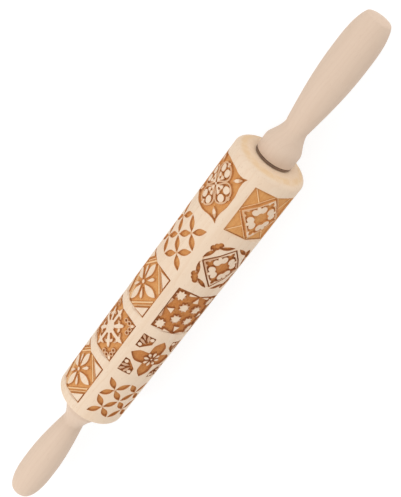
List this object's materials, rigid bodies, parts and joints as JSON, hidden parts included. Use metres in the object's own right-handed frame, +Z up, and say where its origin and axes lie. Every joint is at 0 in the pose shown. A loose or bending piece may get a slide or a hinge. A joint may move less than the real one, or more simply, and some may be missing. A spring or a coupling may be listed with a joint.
{
  "type": "embossed rolling pin",
  "caption": "Wooden rolling pin with turned handles and a carved roller that turns freely and prints patchwork tile patterns into dough.",
  "frame": {"origin": "on the turning axis, midway between the two handle tips", "axes": "+X along the turning axis towards the near handle, +Z up through a plain strip between two columns of tiles, +Y to the side"},
  "size_m": [0.432, 0.0476, 0.0476],
  "materials": {
    "roller_wood": "bare pale beech with burnt orange-brown engraving",
    "handle_wood": "smooth turned beech, slightly pinker than the roller",
    "axle_steel": "plain drawn bar",
    "bush_nylon": "off-white moulded nylon",
    "washer_nylon": "dark nylon"
  },
  "bodies": {
    "grips": {"near_handle": "handle_wood", "far_handle": "handle_wood", "axle": "axle_steel", "near_washer": "washer_nylon", "far_washer": "washer_nylon"},
    "roller": {"roller": "roller_wood", "near_bush": "bush_nylon", "far_bush": "bush_nylon"}
  },
  "joints": [
    {"name": "roller_spin", "type": "hinge", "parent": "grips", "child": "roller", "pos_m": [0, 0, 0], "axis": [1, 0, 0], "continuous": true}
  ]
}
